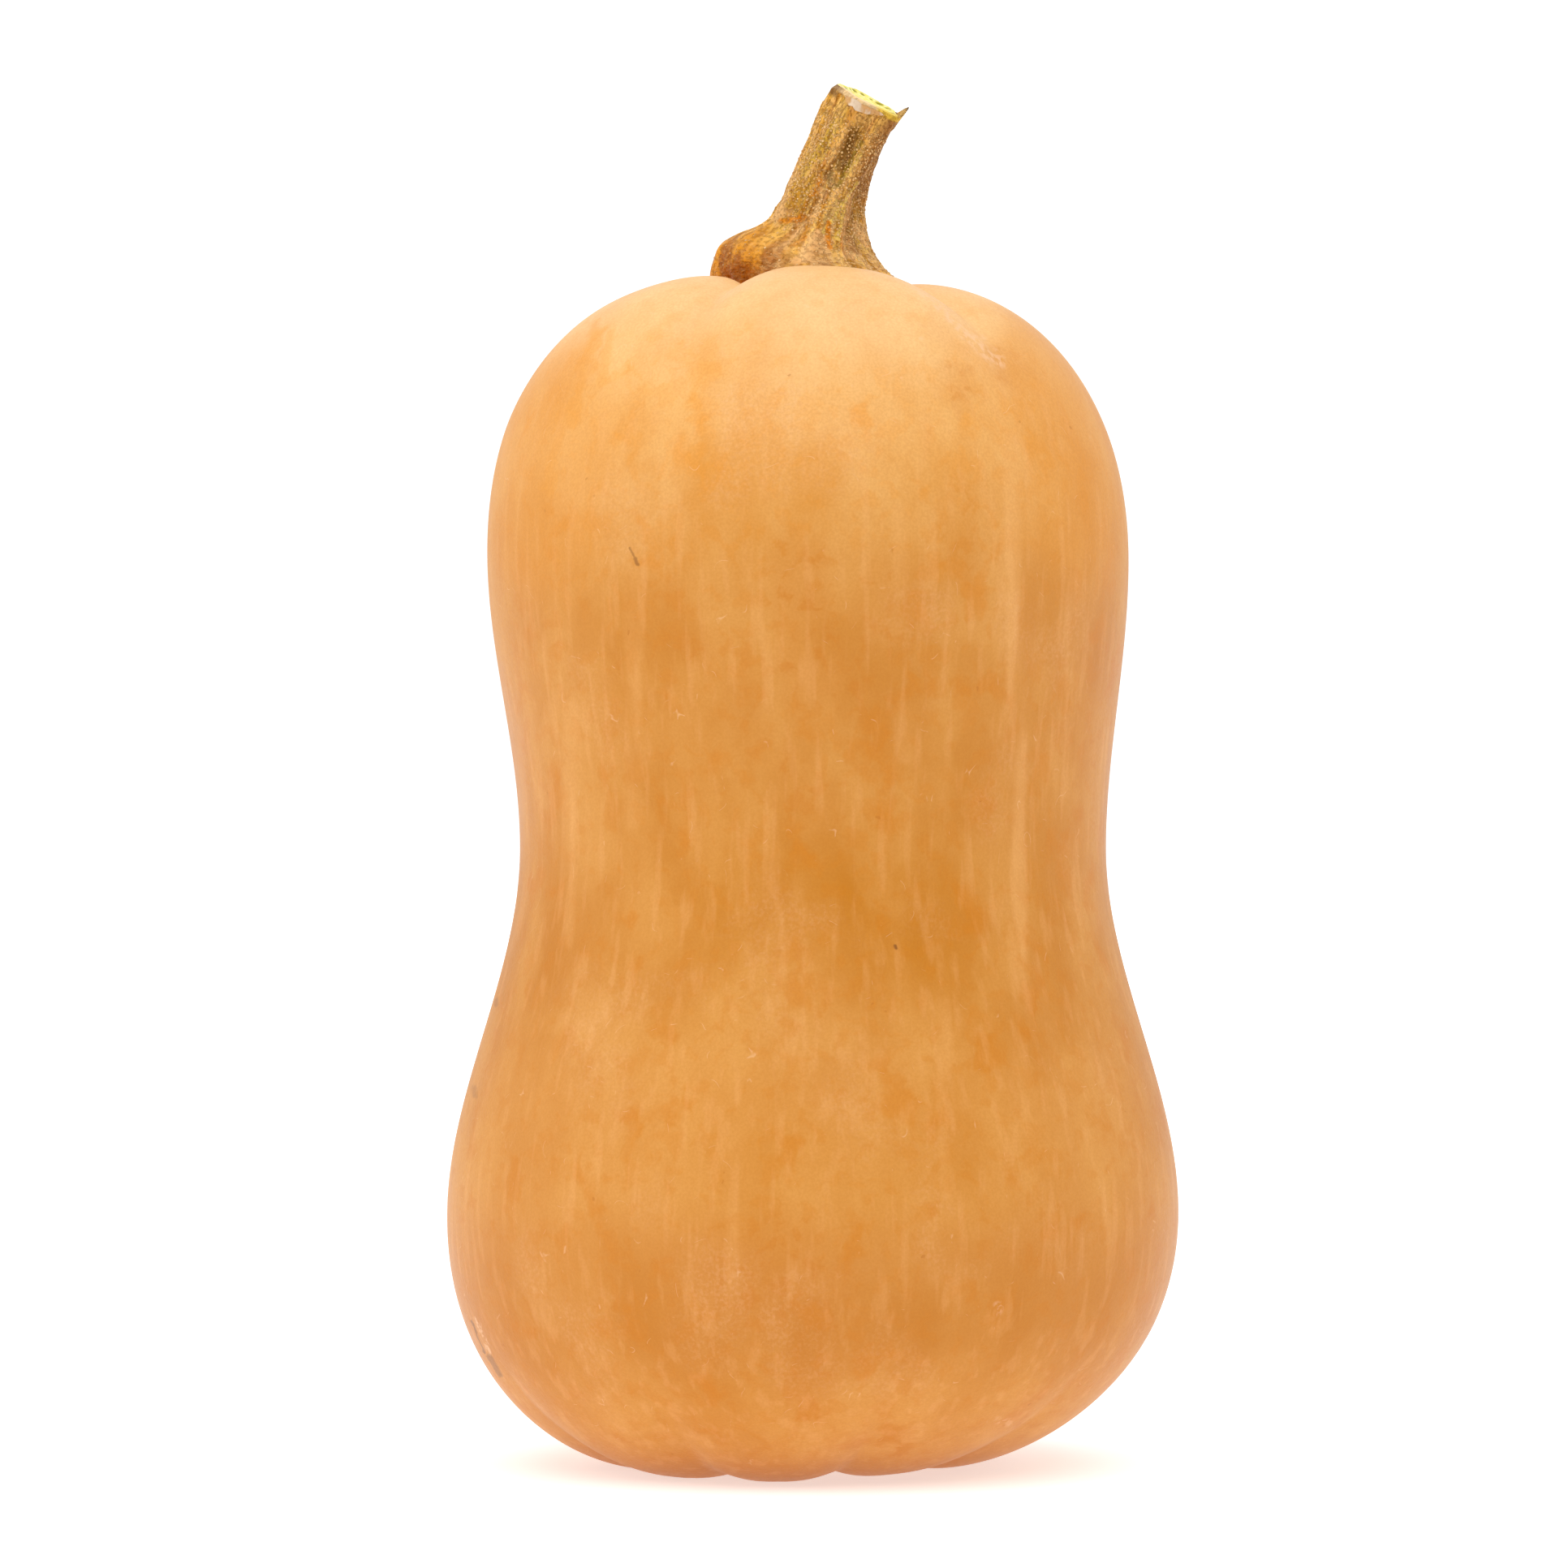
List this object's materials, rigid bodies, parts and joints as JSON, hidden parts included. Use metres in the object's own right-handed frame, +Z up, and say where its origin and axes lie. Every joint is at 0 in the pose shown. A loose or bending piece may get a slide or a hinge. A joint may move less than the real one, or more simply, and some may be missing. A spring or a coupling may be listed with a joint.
{
  "type": "butternut squash",
  "caption": "Stout butternut squash standing on its blossom end, with a broad neck, a rounder bulb and a short leaning woody stem.",
  "frame": {"origin": "on the surface that the squash stands on, under the middle of the fruit", "axes": "+Z up through the fruit towards the stem, -Y to the front, +X to the right, which is the way the stem leans"},
  "size_m": [0.1238, 0.1216, 0.2341],
  "materials": {
    "skin": "waxy, satin",
    "bark": "rough, dry"
  },
  "bodies": {
    "root": {"fruit": "skin", "stem": "bark"}
  },
  "joints": []
}
